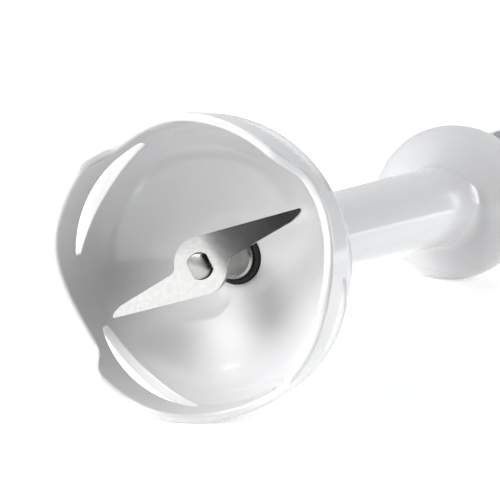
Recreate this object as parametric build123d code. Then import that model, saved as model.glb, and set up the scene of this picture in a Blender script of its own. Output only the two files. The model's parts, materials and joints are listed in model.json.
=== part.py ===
from build123d import *
from math import sqrt
import os

# Hand-held immersion blender, lying on its side. Millimetres.
# Every piece is drawn about the tool's own axis: X runs from the guard's rim (x = 0) to the cord end, Y and Z are
# across it. place() then lifts the tool until it lies on z = 0 and centres it along X.

# --- driving sizes ----------------------------------------------------------------------------------------------
AXIS_HEIGHT = 31.0          # axis above the table: the guard's rim touches the table
GUARD_R = 31.0              # blade guard, outside
GUARD_WALL = 1.9
GUARD_SKIRT = 12.0          # straight part of the guard's outer wall
GUARD_DOME = 20.0           # dome behind the skirt
GUARD_FLOOR = 26.0          # inside depth of the guard
GUARD_END = 36.0            # weld face between guard and stem
SKIRT_INSIDE = 10.0         # straight part of the inner wall
FLOOR_WALL = 5.0            # dome thickness on the axis
NECK_FILLET = 4.0

NOTCHES = 4                 # scallops in the rim
NOTCH_DEPTH = 6.0
NOTCH_RAMP = 18.0           # from a notch's middle to the foot of its gentle side, along the rim
NOTCH_STEEP = 15.5          # from its middle to its steep shoulder
NOTCH_DEEPEST = 6.7         # from its middle to its deepest point
NOTCH_FIRST = 69.5          # angle of the first notch's middle, from +Y towards +Z

SLOTS = 4                   # crescent slots through the wall, behind the rim
SLOT_HALF = 14.8            # half a slot's run along the rim
SLOT_X = 10.4               # distance of its ends from the rim, on average
SLOT_LEAN = 3.3             # one end lies this much further back than the other
SLOT_END = 1.8              # width at its round ends
SLOT_NEAR = 7.9             # its rim-side edge, at the middle
SLOT_FAR = 13.4             # its back edge, at the middle
SLOT_FIRST = 30.0           # angle of the first slot's middle, from +Y towards +Z

STEM_R = 9.0                # stem where it leaves the guard
STEM_TAPER = 0.037          # gain in radius per mm
STEM_WALL = 2.0
BELLY_R = 31.4              # widest part of the shoulder
BELLY_X = 235.7
SHOULDER_LENGTH = 26.9
SHOULDER_WALL = 2.2
SHOULDER_FILLET = 7.0
FOOT_END = 236.4
COLLAR_SEAT = 229.0         # ledge inside the shoulder
COLLAR_SEAT_R = 28.6

SHAFT_R = 2.65
SHAFT_FRONT = 7.7
SHAFT_REAR = 246.0
SHAFT_FLAT = 2.0            # half the width across the flats that drive the blade
RUNNING = 0.05              # radial clearance of turning fits
SEATED = 0.05               # clearance of pieces that sit in one another and stay
SLIDING = 0.3               # clearance of pieces that slide or lift past one another

BLADE_X = 9.0
BLADE_THICKNESS = 1.2
BLADE_SPAN_R = 24.2
BLADE_HUB_R = 6.0
BLADE_PITCH = 8.0           # twist of each wing, degrees
BLADE_ANGLE = 149.0         # direction of one wing, from +Y towards +Z

GUARD_BUSH_R = 4.0
GUARD_BUSH_FRONT = 12.0
GUARD_BUSH_END = 35.0
BUSH_FLANGE_R = 4.7
SEAL_R = 5.9
SEAL_DEPTH = 3.0
SEAL_PROUD = 0.5

UPPER_BUSH_R = 5.0
UPPER_BUSH_X = 206.0
UPPER_BUSH_LENGTH = 10.0
CARRIER_TUBE_R = 7.5
FLANGE_THICKNESS = 2.0

COLLAR_R = 22.0
COLLAR_BORE = 17.0
COLLAR_END = 252.0
ORING_X = 239.5
ORING_SECTION = 0.9
HEX_R = 5.0                 # corners of the six-sided drive
HEX_PLAY = 0.2
LATCH_X = 247.3
LATCH_WIDTH = 5.0

PARTING_GAP = 0.4           # shadow line between foot and motor unit
HOUSING_WALL = 2.2
WAIST_R = 23.6
TAIL_R = 31.4
CAP_X = 378.0
CAP_DEPTH = 17.0
CAP_FLAT_X = 394.0
CAP_SPIGOT = 6.0
GLAND_BORE = 3.5
GLAND_NECK_R = 6.0
GLAND_FLANGE_R = 8.0
GLAND_LIP = 1.6
OVERALL = CAP_FLAT_X + GLAND_LIP

SOCKET_WALL = 2.3
SOCKET_X = 238.0
WEB_X = 254.0
WEB_THICKNESS = 2.4
RIB = 2.4

MOTOR_R = 18.5
BRACKET_R = 19.0
MOUNT_R = 20.4
FRONT_BRACKET_X = 266.0
REAR_BRACKET_X = 316.5
BRACKET_THICKNESS = 3.0
STACK_X = 277.0
STACK_LENGTH = 22.0
COIL_OVERHANG = 5.0
AIR_GAP = 0.5
ARMATURE_R = 12.0
ARMATURE_SLOTS = 12
MOTOR_SHAFT_R = 2.5
BEARING_R = 8.0
BEARING_WIDTH = 5.0
COMMUTATOR_X = 306.0
COMMUTATOR_LENGTH = 8.0
COMMUTATOR_R = 5.5
BRUSH = 4.0
FAN_X = 258.5
FAN_R = 16.5
FAN_BLADES = 9

BOARD_Z = 4.0
BOARD_THICKNESS = 1.6
BOARD_HALF = 10.0
BOARD_X = (323.5, 358.5)
SWITCH_HEIGHT = 3.6
SWITCH_SIZE = 7.0
PLUNGER_R = 1.5
PLUNGER_TOP = 11.2
FRAME_Z = 12.5
FRAME_THICKNESS = 1.5
BUTTON_TRAVEL = 1.6
BUTTON_PROUD = 1.4
BUTTON_FLANGE = 1.4
BUTTONS = {"power": (333.0, 12.6, 9.0), "turbo": (349.0, 12.6, 9.0)}   # centre x, length, width
RELEASE_PROUD = 0.8
RELEASE_LENGTH = 11.0
RELEASE_WIDTH = 7.0
RELEASE_FLANGE = 1.0        # how far the flange stands out round the button
RELEASE_PAD = 0.7           # depth of the flat that the flange is pressed towards
RELEASE_REST = 24.0         # inner end of the release plunger
LATCH_TIP = RELEASE_REST - SLIDING

SCREW_R = 1.5
SCREW_HEAD_R = 2.7
SCREW_HEAD = 1.8
HOUSING_SCREWS = [(329.0, 15.5), (329.0, -15.5), (364.0, 19.0), (364.0, -19.0)]
BOSS_R = 3.2
CLAMP_X = (366.0, 372.0)
CLAMP_HALF = 9.0
CLAMP_SCREW_Y = 6.2


# --- shared shapes ----------------------------------------------------------------------------------------------
def ring(x0, x1, r_out, r_in=0.0):
    """Disc or tube about the tool axis."""
    solid = Pos(x0, 0, 0) * Rot(0, 90, 0) * Cylinder(r_out, x1 - x0, align=(Align.CENTER, Align.CENTER, Align.MIN))
    if r_in:
        solid -= Pos(x0 - 1, 0, 0) * Rot(0, 90, 0) * Cylinder(
            r_in, x1 - x0 + 2, align=(Align.CENTER, Align.CENTER, Align.MIN))
    return solid


def block(x, y, z):
    """Box from three (low, high) pairs."""
    return Pos((x[0] + x[1]) / 2, (y[0] + y[1]) / 2, (z[0] + z[1]) / 2) * Box(x[1] - x[0], y[1] - y[0], z[1] - z[0])


def turned(*edges):
    """Solid of revolution about the tool axis from a closed outline in x and radius."""
    return revolve(make_face(edges), Axis.X)


def taper(x0, x1, radius):
    """Cone about the tool axis, its radius given by a function of x."""
    return turned(Polyline((x0, 0), (x0, radius(x0)), (x1, radius(x1)), (x1, 0), close=True))


def dome(x, depth, radius, forward):
    """Half ellipsoid on the plane at x, towards the cord end (forward = 1) or the rim (-1)."""
    tip = (x + forward * depth, 0)
    start = 0 if forward > 0 else 90
    arc = EllipticalCenterArc((x, 0), depth, radius, start, arc_size=90)
    return turned(arc, Line((x, radius), (x, 0)), Line((x, 0), tip))


def spun(solid, count, first=0.0):
    """Copies of a solid spaced evenly round the tool axis."""
    return [Rot(first + 360.0 * i / count, 0, 0) * solid for i in range(count)]


def seam(solid, x, radius, size):
    """Round the circular edge nearest to a place on the outline."""
    def miss(edge):
        box = edge.bounding_box()
        return abs(box.min.X - x) + abs(box.max.X - x) + abs(box.size.Y / 2 - radius)
    return fillet(min(solid.edges(), key=miss), size)


def screw(length, head_r=SCREW_HEAD_R, head=SCREW_HEAD, shank_r=SCREW_R):
    """Pan-head screw along +Z: the head's seat at z = 0, the shank above it, a cross in the head."""
    body = Cylinder(shank_r, length, align=(Align.CENTER, Align.CENTER, Align.MIN))
    body += Cylinder(head_r, head, align=(Align.CENTER, Align.CENTER, Align.MAX))
    for turn in (0, 90):
        body -= Pos(0, 0, -head) * Rot(0, 0, turn) * Box(head_r * 1.2, 0.6, head)
    return body


def coil(radius, wire, length, turns):
    """Compression spring along +Z from z = 0."""
    rise = length - 2 * wire
    path = Pos(0, 0, wire) * Helix(rise / turns, rise, radius)
    start = path @ 0
    section = Plane(origin=start, z_dir=path % 0) * Circle(wire)
    return sweep(section, path, is_frenet=True)


def place(shape):
    return Pos(-OVERALL / 2, 0, AXIS_HEIGHT) * shape


nodes = {}


def keep(name, *solids):
    """Store one node; several solids stay separate in it."""
    flat = []
    for item in solids:
        flat += item.solids()
    nodes[name] = flat


# --- blade guard ------------------------------------------------------------------------------------------------
def stem_radius(x):
    return STEM_R + STEM_TAPER * (x - GUARD_END)


def rim_cutter(outline):
    """Cutter through one side of the guard's wall, drawn along the rim (first) and into the guard (second)."""
    plane = Plane(origin=(0, 0, GUARD_R * 0.6), x_dir=(0, 1, 0), z_dir=(0, 0, -1))
    return extrude(plane * make_face(outline), amount=-GUARD_R)


def notch():
    """Cutter for one scallop: a gentle ramp down to the deepest point, then a steep rounded shoulder."""
    curve = Spline((-NOTCH_RAMP, 0), (-0.62 * NOTCH_RAMP, 0.25 * NOTCH_DEPTH), (0, 0.83 * NOTCH_DEPTH),
                   (NOTCH_DEEPEST, NOTCH_DEPTH), (0.76 * NOTCH_STEEP, 0.68 * NOTCH_DEPTH), (NOTCH_STEEP, 0))
    rim = Polyline((NOTCH_STEEP, 0), (NOTCH_STEEP, -1.0), (-NOTCH_RAMP, -1.0), (-NOTCH_RAMP, 0))
    return rim_cutter([curve, rim])


def crescent():
    """Cutter for one crescent slot, its back edge more bowed than its rim-side edge."""
    low = SLOT_X - SLOT_LEAN / 2
    high = SLOT_X + SLOT_LEAN / 2
    half_end = SLOT_END / 2
    near = ThreePointArc((SLOT_HALF, low - half_end), (0, SLOT_NEAR), (-SLOT_HALF, high - half_end))
    far = ThreePointArc((SLOT_HALF, low + half_end), (0, SLOT_FAR), (-SLOT_HALF, high + half_end))
    first = ThreePointArc(near @ 0, (SLOT_HALF + half_end, low), far @ 0)
    last = ThreePointArc(near @ 1, (-SLOT_HALF - half_end, high), far @ 1)
    return rim_cutter([near, first, far, last])


shell = ring(0, GUARD_SKIRT, GUARD_R) + dome(GUARD_SKIRT, GUARD_DOME, GUARD_R, 1)
shell += taper(GUARD_SKIRT, GUARD_END, stem_radius)
neck = GUARD_SKIRT + GUARD_DOME * sqrt(1 - (stem_radius(31.0) / GUARD_R) ** 2)
shell = seam(shell, neck, stem_radius(neck), NECK_FILLET)
hollow = ring(-1, SKIRT_INSIDE, GUARD_R - GUARD_WALL)
hollow += dome(SKIRT_INSIDE, GUARD_SKIRT + GUARD_DOME - FLOOR_WALL - SKIRT_INSIDE, GUARD_R - GUARD_WALL, 1)
hollow -= ring(GUARD_FLOOR, GUARD_END, GUARD_R)
guard = shell - hollow
guard -= ring(0, GUARD_END + 1, GUARD_BUSH_R + SEATED)
guard -= ring(0, GUARD_FLOOR + SEAL_DEPTH, SEAL_R + SEATED)
for cutter in spun(notch(), NOTCHES, NOTCH_FIRST - 90.0) + spun(crescent(), SLOTS, SLOT_FIRST - 90.0):
    guard -= cutter
keep("blade_guard", guard)

bush = ring(GUARD_BUSH_FRONT, GUARD_BUSH_END, GUARD_BUSH_R, SHAFT_R + RUNNING)
bush += ring(GUARD_FLOOR - SEAL_PROUD - 1.0, GUARD_FLOOR - SEAL_PROUD, BUSH_FLANGE_R, SHAFT_R + RUNNING)
keep("guard_bush", bush)
keep("shaft_seal", ring(GUARD_FLOOR - SEAL_PROUD, GUARD_FLOOR + SEAL_DEPTH, SEAL_R, GUARD_BUSH_R + SEATED))

# --- stem and shoulder --------------------------------------------------------------------------------------------
body = taper(GUARD_END, BELLY_X - SHOULDER_LENGTH / 2, stem_radius)
body += dome(BELLY_X, SHOULDER_LENGTH, BELLY_R, -1)
flare = BELLY_X - SHOULDER_LENGTH * sqrt(1 - (stem_radius(212.0) / BELLY_R) ** 2)
body = seam(body, flare, stem_radius(flare), SHOULDER_FILLET)
body += ring(BELLY_X, FOOT_END, BELLY_R)
hollow = taper(GUARD_END - 1, BELLY_X - SHOULDER_LENGTH / 2, lambda x: stem_radius(x) - STEM_WALL)
hollow += dome(BELLY_X, SHOULDER_LENGTH - SHOULDER_WALL, BELLY_R - SHOULDER_WALL, -1)
hollow -= ring(COLLAR_SEAT, FOOT_END, BELLY_R)
hollow += ring(COLLAR_SEAT, FOOT_END + 1, COLLAR_SEAT_R)
SCREW_CIRCLE = COLLAR_R + SCREW_HEAD_R + 0.1
lug = Pos(0, 0, SCREW_CIRCLE) * ring(COLLAR_SEAT - 9.0, COLLAR_SEAT, BOSS_R)
lug_hole = Pos(0, 0, SCREW_CIRCLE) * ring(COLLAR_SEAT - 8.0, COLLAR_SEAT + 1, SCREW_R + SEATED)
outside = dome(BELLY_X, SHOULDER_LENGTH - 1.0, BELLY_R - 1.0, -1)
stem = body - hollow
stem += ring(COLLAR_SEAT - 2.5, COLLAR_SEAT, COLLAR_SEAT_R + 1.0, COLLAR_SEAT_R - 3.0) & outside
for post in spun(lug, 3):
    stem += post & outside
for hole in spun(lug_hole, 3):
    stem -= hole
below = block((0, OVERALL), (-BELLY_R, BELLY_R), (-2 * BELLY_R, -AXIS_HEIGHT))
keep("stem", stem - below)

# --- upper bush, its carrier and the collar ------------------------------------------------------------------------
flange_end = COLLAR_SEAT + FLANGE_THICKNESS
carrier = ring(COLLAR_SEAT, flange_end, COLLAR_SEAT_R - SEATED)
carrier += ring(UPPER_BUSH_X - 1.0, flange_end, CARRIER_TUBE_R)
web = block((flange_end - 12.0, flange_end - 1), (-0.8, 0.8), (CARRIER_TUBE_R - 1, 17.5))
for fin in spun(web & outside, 6, 30.0):
    carrier += fin
carrier -= ring(UPPER_BUSH_X - 2.0, flange_end + 1, UPPER_BUSH_R + SEATED)
screw_way = Pos(0, 0, SCREW_CIRCLE) * ring(COLLAR_SEAT - 1, flange_end + 9, SCREW_R + SEATED)
for hole in spun(screw_way, 3):
    carrier -= hole
keep("bearing_carrier", carrier)
keep("upper_bush", ring(UPPER_BUSH_X, UPPER_BUSH_X + UPPER_BUSH_LENGTH, UPPER_BUSH_R, SHAFT_R + RUNNING))

collar_face = flange_end + 2.0
collar = ring(flange_end, collar_face, COLLAR_SEAT_R - SEATED) + ring(collar_face, COLLAR_END, COLLAR_R)
collar -= ring(flange_end - 1, COLLAR_END + 1, COLLAR_BORE)
collar -= ring(ORING_X - 1.0, ORING_X + 1.0, COLLAR_R + 1, COLLAR_R - 1.7)
for hole in spun(screw_way, 3):
    collar -= hole
POCKET_FLOOR = COLLAR_R - 2.4
for side in (1, -1):
    collar -= block((LATCH_X - 6.5, COLLAR_END + 1), sorted((side * POCKET_FLOOR, side * (COLLAR_R + 2))),
                    (-LATCH_WIDTH / 2 - SLIDING, LATCH_WIDTH / 2 + SLIDING))
keep("foot_collar", collar)
shank = Rot(0, -90, 0) * screw(collar_face - COLLAR_SEAT + 6.0)
keep("collar_screws", *spun(Pos(collar_face, 0, SCREW_CIRCLE) * shank, 3))
keep("collar_oring", Pos(ORING_X, 0, 0) * Rot(0, 90, 0) * Torus(COLLAR_R - 0.75, ORING_SECTION))

leaf_line = Polyline((LATCH_X - 6.4, POCKET_FLOOR + 0.3), (LATCH_X - 2.5, POCKET_FLOOR + 0.9),
                     (LATCH_X - 0.4, LATCH_TIP - 0.4), (LATCH_X + 2.8, POCKET_FLOOR + 1.2))
leaf = extrude(trace(leaf_line, 0.5), amount=LATCH_WIDTH / 2, both=True)
keep("latch_springs", *spun(leaf, 2))

# --- blade and what turns with it ------------------------------------------------------------------------------------
def wing():
    """One ground wing along +Y: straight leading edge, swept trailing edge, rounded tip."""
    root = BLADE_HUB_R - 1.0
    tip = BLADE_SPAN_R
    edge = Polyline((0.0, -BLADE_HUB_R + 0.3), (root, -BLADE_HUB_R + 0.2), (tip - 1.2, -1.2), (tip, 0.2),
                    (tip - 1.0, 1.2), (root + 1.5, 1.6), (0.0, 4.0), close=True)
    flat = make_face(edge)
    plate = extrude(Plane(origin=(0, 0, 0), x_dir=(0, 1, 0), z_dir=(1, 0, 0)) * flat, amount=BLADE_THICKNESS / 2,
                    both=True)
    return Rot(0, BLADE_PITCH, 0) * plate - ring(-BLADE_HUB_R, BLADE_HUB_R, BLADE_HUB_R - 1.5)


def double_d(x0, x1, play=0.0):
    """Round rod with two flats, which face along the wings."""
    flats = block((x0, x1), (-SHAFT_FLAT - play, SHAFT_FLAT + play), (-SHAFT_R - 1, SHAFT_R + 1))
    return ring(x0, x1, SHAFT_R + play) & flats


blade_middle = BLADE_X + BLADE_THICKNESS / 2
blade = ring(BLADE_X, BLADE_X + BLADE_THICKNESS, BLADE_HUB_R)
for part in spun(wing(), 2):
    blade += Pos(blade_middle, 0, 0) * part
blade -= double_d(BLADE_X - 3, BLADE_X + 5, SEATED)
keep("blade", Rot(BLADE_ANGLE, 0, 0) * blade)

washer_x = BLADE_X + BLADE_THICKNESS + 0.3
UPPER_END = UPPER_BUSH_X + UPPER_BUSH_LENGTH
rod = ring(washer_x, SHAFT_REAR, SHAFT_R) + double_d(SHAFT_FRONT, washer_x)
GROOVE_X = UPPER_END + 1.2
rod -= ring(GROOVE_X, GROOVE_X + 0.9, SHAFT_R + 1, SHAFT_R - 0.5)
keep("drive_shaft", Rot(BLADE_ANGLE, 0, 0) * rod)
keep("thrust_washers", ring(washer_x, GUARD_BUSH_FRONT - 0.1, GUARD_BUSH_R, SHAFT_R + SEATED),
     ring(UPPER_END + 0.1, GROOVE_X - 0.1, UPPER_BUSH_R - 0.3, SHAFT_R + SEATED))
clip = ring(GROOVE_X + 0.05, GROOVE_X + 0.85, UPPER_BUSH_R - 0.6, SHAFT_R - 0.45)
keep("shaft_clip", clip - block((GROOVE_X - 1, GROOVE_X + 2), (-1.6, 1.6), (0, UPPER_BUSH_R)))


def hexagon(x0, x1, corner_r):
    profile = Plane(origin=(x0, 0, 0), z_dir=(1, 0, 0)) * RegularPolygon(corner_r, 6)
    return extrude(profile, amount=x1 - x0)


HEX_X = collar_face + 6.0
HEX_END = HEX_X + 10.0
driven = ring(HEX_X - 4.0, HEX_X, 8.0) + hexagon(HEX_X, HEX_END, HEX_R)
driven -= ring(HEX_X - 5.0, SHAFT_REAR, SHAFT_R + SEATED)
keep("driven_coupling", driven)

# --- motor unit: housing -----------------------------------------------------------------------------------------------
HOUSING_X = FOOT_END + PARTING_GAP


def grip(offset=0.0):
    """Waisted outside of the grip, its surface moved out by an offset."""
    line = Spline((HOUSING_X, BELLY_R + offset), (262, 28.6 + offset), (287, WAIST_R + 1.2 + offset),
                  (312, WAIST_R + offset), (345, WAIST_R + 3.1 + offset), (CAP_X, TAIL_R + offset),
                  tangents=[(1, 0), (1, 0)])
    return turned(line, Polyline((CAP_X, TAIL_R + offset), (CAP_X, 0), (HOUSING_X, 0), (HOUSING_X, BELLY_R + offset)))


outer = grip()
inner = grip(-HOUSING_WALL)
walls = outer - inner
SOCKET_R = COLLAR_R + SLIDING + SOCKET_WALL
RIBS = [(SOCKET_X, SOCKET_R), (WEB_X, SOCKET_R), (FRONT_BRACKET_X + 0.3, MOUNT_R), (REAR_BRACKET_X + 0.3, MOUNT_R)]
for x, r in RIBS:
    walls += ring(x, x + RIB, r + 3.0, r + SEATED) & outer
    walls += (ring(x, x + RIB, BELLY_R) - ring(x - 1, x + RIB + 1, r + 2.0)) & outer
CAP_SEAT = CAP_X - CAP_SPIGOT
CAP_SEAT_R = TAIL_R - HOUSING_WALL - 0.8
walls += (ring(CAP_SEAT, CAP_X, BELLY_R) & outer) - ring(CAP_SEAT - 1, CAP_X + 1, CAP_SEAT_R)

upper_room = block((HOUSING_X, CAP_X), (-BELLY_R, BELLY_R), (0, BELLY_R))
lower_room = block((HOUSING_X, CAP_X), (-BELLY_R, BELLY_R), (-AXIS_HEIGHT, 0))
board_top = BOARD_Z + BOARD_THICKNESS
shells = {"upper": walls & upper_room, "lower": walls & lower_room}
for x in BOARD_X:
    tab = block((x - 1.0, x + 1.0), (-BOARD_HALF, BOARD_HALF), (-BELLY_R, BOARD_Z))
    shells["lower"] += tab & outer
    tab = block((x - 1.0, x + 1.0), (-BOARD_HALF, BOARD_HALF), (board_top + SEATED, BELLY_R))
    shells["upper"] += tab & outer
for x, y in HOUSING_SCREWS:
    for name, room in (("upper", upper_room), ("lower", lower_room)):
        post = Pos(x, y, 0) * Cylinder(BOSS_R, 2 * BELLY_R)
        shells[name] += post & outer & room

HEAD_Z = -11.0
for x, y in HOUSING_SCREWS:
    shells["lower"] -= Pos(x, y, 0) * Cylinder(SCREW_R + SEATED, 2 * BELLY_R)
    shells["lower"] -= Pos(x, y, HEAD_Z) * Cylinder(SCREW_HEAD_R + 0.2, BELLY_R,
                                                      align=(Align.CENTER, Align.CENTER, Align.MAX))
    shells["upper"] -= Pos(x, y, 0) * Cylinder(SCREW_R + SEATED, 16.0)
keep("housing_screws", *[Pos(x, y, HEAD_Z) * screw(-HEAD_Z + 7.0) for x, y in HOUSING_SCREWS])


def pill(length, width, height):
    """Upright block with round ends, from z = 0 up."""
    return extrude(SlotOverall(length, width), amount=height)


# cord clamp seat in the lower shell
clamp_pad = block(CLAMP_X, (-CLAMP_HALF, CLAMP_HALF), (-BELLY_R, -0.6)) & outer
cord_way = ring(CLAMP_X[0] - 1, CLAMP_X[1] + 1, GLAND_BORE - 0.3)
clamp_x = sum(CLAMP_X) / 2
shells["lower"] += clamp_pad
clamp_bar = block(CLAMP_X, (-CLAMP_HALF, CLAMP_HALF), (-0.6, 5.0))
shells["lower"] -= cord_way
clamp_bar -= cord_way
for y in (CLAMP_SCREW_Y, -CLAMP_SCREW_Y):
    shells["lower"] -= Pos(clamp_x, y, -8.0) * Cylinder(1.25, 20.0)
    clamp_bar -= Pos(clamp_x, y, 0) * Cylinder(1.25, 20.0)
keep("cord_clamp", clamp_bar)
keep("cord_clamp_screws", *[Pos(clamp_x, y, 5.0) * Rot(180, 0, 0) * screw(12.0, 2.2, 1.4, 1.2)
                            for y in (CLAMP_SCREW_Y, -CLAMP_SCREW_Y)])

# --- buttons on top ------------------------------------------------------------------------------------------------------
plungers_top = PLUNGER_TOP + RUNNING
frame_top = FRAME_Z + FRAME_THICKNESS
frame = block((BOARD_X[0] + 1.2, BOARD_X[1] - 1.2), (-9.0, 9.0), (FRAME_Z, frame_top))
for x in (BOARD_X[0] + 2.4, BOARD_X[1] - 2.4):
    for y in (-7.8, 7.8):
        frame += block((x - 1.2, x + 1.2), (y - 1.2, y + 1.2), (board_top, FRAME_Z))
for name, (x, length, width) in BUTTONS.items():
    probe_x = x - length / 2 - 1.5
    probe_y = width / 2 + 1.3
    under_roof = inner & block((probe_x, probe_x + 0.1), (probe_y, probe_y + 0.1), (0, BELLY_R))
    flange_top = under_roof.bounding_box().max.Z - BUTTON_TRAVEL / 4
    flange_low = flange_top - BUTTON_FLANGE
    hole = Pos(x, 0, 5.0) * pill(length + 2 * SLIDING, width + 2 * SLIDING, BELLY_R)
    shells["upper"] -= hole
    button = (Pos(x, 0, flange_low) * pill(length, width, BELLY_R)) & grip(BUTTON_PROUD)
    button += Pos(x, 0, flange_low) * pill(length + 2.4, width + 2.4, BUTTON_FLANGE)
    button += Pos(x, 0, plungers_top) * Cylinder(2.0, flange_low - plungers_top,
                                                  align=(Align.CENTER, Align.CENTER, Align.MIN))
    keep(name + "_button", button)
    frame -= Pos(x, 0, FRAME_Z) * Cylinder(2.0 + SLIDING, 6.0)
    case = block((x - SWITCH_SIZE / 2, x + SWITCH_SIZE / 2), (-SWITCH_SIZE / 2, SWITCH_SIZE / 2),
                 (board_top, board_top + SWITCH_HEIGHT))
    case -= Pos(x, 0, board_top + 1.0) * Cylinder(PLUNGER_R + RUNNING, SWITCH_HEIGHT,
                                                   align=(Align.CENTER, Align.CENTER, Align.MIN))
    keep(name + "_switch", case)
    foot = board_top + 1.0 + BUTTON_TRAVEL + 0.2
    keep(name + "_plunger", Pos(x, 0, foot) * Cylinder(PLUNGER_R, PLUNGER_TOP - foot,
                                                        align=(Align.CENTER, Align.CENTER, Align.MIN)))
    keep(name + "_button_spring", Pos(x, 0, frame_top) * coil(3.2, 0.3, flange_low - frame_top, 4))
keep("button_frame", frame)

# --- release buttons and socket ------------------------------------------------------------------------------------------
web_hole = 9.5
socket = ring(SOCKET_X, WEB_X + WEB_THICKNESS, SOCKET_R) - ring(SOCKET_X - 1, WEB_X, COLLAR_R + SLIDING)
socket -= ring(SOCKET_X, WEB_X + WEB_THICKNESS + 1, web_hole)
PAD_Y = SOCKET_R - RELEASE_PAD
PAD_X_HALF = RELEASE_LENGTH / 2 + RELEASE_FLANGE + SLIDING
PAD_Z_HALF = RELEASE_WIDTH / 2 + RELEASE_FLANGE + SLIDING
LATCH_WINDOW = LATCH_WIDTH / 2 + 0.2
for side in (1, -1):
    socket -= block((LATCH_X - PAD_X_HALF, LATCH_X + PAD_X_HALF), sorted((side * PAD_Y, side * (PAD_Y + 2))),
                    (-PAD_Z_HALF, PAD_Z_HALF))
    socket -= block((LATCH_X - LATCH_WINDOW, LATCH_X + LATCH_WINDOW), sorted((side * COLLAR_R, side * (PAD_Y + 1))),
                    (-LATCH_WINDOW, LATCH_WINDOW))
keep("coupling_socket", socket)


def on_side(solid, side):
    """Turn a piece drawn along +Z to point along +Y or -Y, at the latch."""
    return Pos(LATCH_X, 0, 0) * Rot(-90 * side, 0, 0) * solid


springs = []
for name, side in (("left", 1), ("right", -1)):
    edge = inner & block((LATCH_X + RELEASE_LENGTH / 2 + 1.0, LATCH_X + RELEASE_LENGTH / 2 + 1.1),
                         (0, 40), (RELEASE_WIDTH / 2 + 0.9, RELEASE_WIDTH / 2 + 1.0))
    top = edge.bounding_box().max.Y - BUTTON_TRAVEL / 4
    hole = on_side(Pos(0, 0, PAD_Y) * pill(RELEASE_LENGTH + 2 * SLIDING, RELEASE_WIDTH + 2 * SLIDING, 20.0), side)
    for half in shells:
        shells[half] -= hole
    button = on_side(Pos(0, 0, top - 1.0) * pill(RELEASE_LENGTH, RELEASE_WIDTH, 12.0), side) & grip(RELEASE_PROUD)
    flange = pill(RELEASE_LENGTH + 2 * RELEASE_FLANGE, RELEASE_WIDTH + 2 * RELEASE_FLANGE, 1.2)
    button += on_side(Pos(0, 0, top - 1.2) * flange, side)
    button += on_side(Pos(0, 0, RELEASE_REST) * Cylinder(1.7, top - 1.0 - RELEASE_REST,
                                                         align=(Align.CENTER, Align.CENTER, Align.MIN)), side)
    keep("release_button_" + name, button)
    springs.append(on_side(Pos(0, 0, PAD_Y) * coil(3.3, 0.2, top - 1.2 - PAD_Y, 2), side))
keep("release_springs", *springs)
keep("housing_upper", shells["upper"])
keep("housing_lower", shells["lower"] - below)

# --- end cap and cord inlet ------------------------------------------------------------------------------------------------
cap = dome(CAP_X, CAP_DEPTH, TAIL_R, 1) - dome(CAP_X, CAP_DEPTH - HOUSING_WALL, TAIL_R - HOUSING_WALL, 1)
cap += ring(CAP_FLAT_X - 4.0, CAP_FLAT_X, 10.0)
cap &= ring(CAP_X, CAP_FLAT_X, TAIL_R + 1)
cap += ring(CAP_SEAT, CAP_X + 2.0, CAP_SEAT_R - SEATED, CAP_SEAT_R - 2.0)
cap += ring(CAP_X, CAP_X + 2.0, TAIL_R - 0.8, CAP_SEAT_R - 2.0)
snap = block((CAP_SEAT - 4.0, CAP_SEAT + 1), (-3.5, 3.5), (CAP_SEAT_R - 1.8, CAP_SEAT_R - SEATED))
snap += block((CAP_SEAT - 3.0, CAP_SEAT - 0.1), (-3.5, 3.5), (CAP_SEAT_R - 1.8, CAP_SEAT_R - SEATED))
for hook in spun(snap & ring(CAP_SEAT - 5, CAP_SEAT + 2, CAP_SEAT_R - SEATED), 4, 45.0):
    cap += hook
cap -= ring(CAP_FLAT_X - 6.0, CAP_FLAT_X + 1, GLAND_NECK_R)
keep("end_cap", cap - below)
gland = ring(CAP_FLAT_X - 4.0, CAP_FLAT_X, GLAND_NECK_R - SEATED)
gland += ring(CAP_FLAT_X, OVERALL, GLAND_FLANGE_R) + ring(CAP_FLAT_X - 5.4, CAP_FLAT_X - 4.0, GLAND_FLANGE_R - 0.8)
gland -= ring(CAP_FLAT_X - 6.0, OVERALL + 1, GLAND_BORE)
keep("cord_gland", gland)

# --- motor ---------------------------------------------------------------------------------------------------------------
bracket = ring(FRONT_BRACKET_X, FRONT_BRACKET_X + BRACKET_THICKNESS, BRACKET_R)
bracket += ring(FRONT_BRACKET_X - 2.0, FRONT_BRACKET_X + BRACKET_THICKNESS, BEARING_R + 2.0)
bracket -= ring(FRONT_BRACKET_X - 3.0, FRONT_BRACKET_X + BRACKET_THICKNESS + 1, BEARING_R + SEATED)
vent = block((FRONT_BRACKET_X - 1, FRONT_BRACKET_X + BRACKET_THICKNESS + 1), (-2.5, 2.5), (12.0, 17.0))
for slot in spun(vent, 6):
    bracket -= slot
STACK_END = STACK_X + STACK_LENGTH
LEG_R = 1.4
LEG_INSET = 0.2
leg = Pos(0, 0, BRACKET_R - LEG_R - LEG_INSET) * ring(FRONT_BRACKET_X + 1, STACK_X, LEG_R)
for support in spun(leg, 4, 45.0):
    bracket += support
keep("motor_front_bracket", bracket)
front_bearing_x = FRONT_BRACKET_X + BRACKET_THICKNESS - BEARING_WIDTH
keep("front_bearing", ring(front_bearing_x, front_bearing_x + BEARING_WIDTH, BEARING_R, MOTOR_SHAFT_R + RUNNING))

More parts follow.
